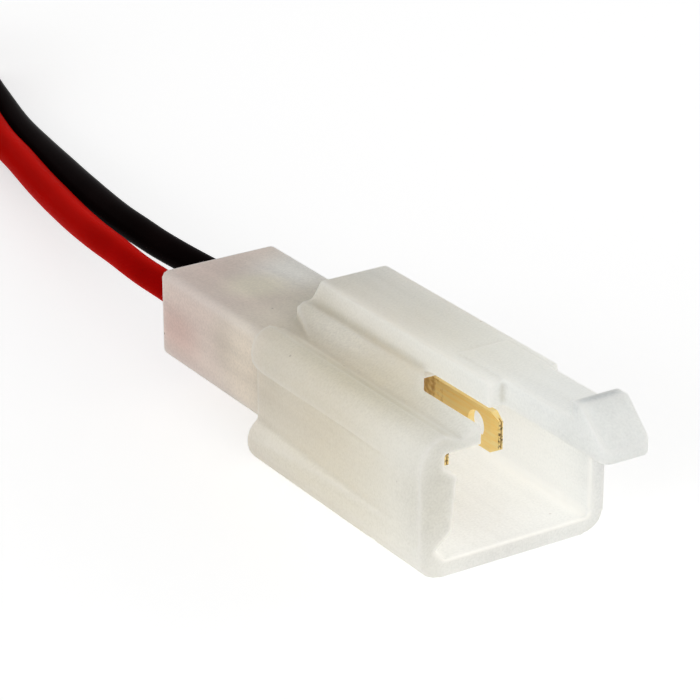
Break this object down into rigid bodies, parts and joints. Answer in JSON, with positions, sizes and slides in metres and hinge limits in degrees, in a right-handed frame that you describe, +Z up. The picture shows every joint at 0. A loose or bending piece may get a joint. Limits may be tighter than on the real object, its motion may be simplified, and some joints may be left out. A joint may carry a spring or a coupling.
{
  "type": "two-way wire connector with male tabs and leads",
  "caption": "Moulded wire connector half with a hooded mouth around flat male tabs, a latch tongue reaching past the mouth, and a red and a black lead that run to a tied coil.",
  "frame": {"origin": "under the middle of the connector's body, leads apart, on the plane that the hood's underside rests on", "axes": "+Y from the mouth towards the leads, +X to the right as seen from the mouth, +Z up towards the latch"},
  "size_m": [0.0305, 0.1278, 0.0129],
  "materials": {
    "nylon": "natural moulded nylon, slightly translucent, satin",
    "brass": "stamped, bright",
    "strands": "bare copper strands",
    "red_insulation": "soft glossy insulation",
    "black_insulation": "soft glossy insulation",
    "coil_insulation": "soft glossy insulation of both leads",
    "tie": "satin nylon band"
  },
  "bodies": {
    "root": {"housing": "nylon", "left_terminal": "brass", "right_terminal": "brass", "red_conductor": "strands", "black_conductor": "strands", "red_wire": "red_insulation", "black_wire": "black_insulation", "lead_coil": "coil_insulation", "lead_tie": "tie"}
  },
  "joints": []
}
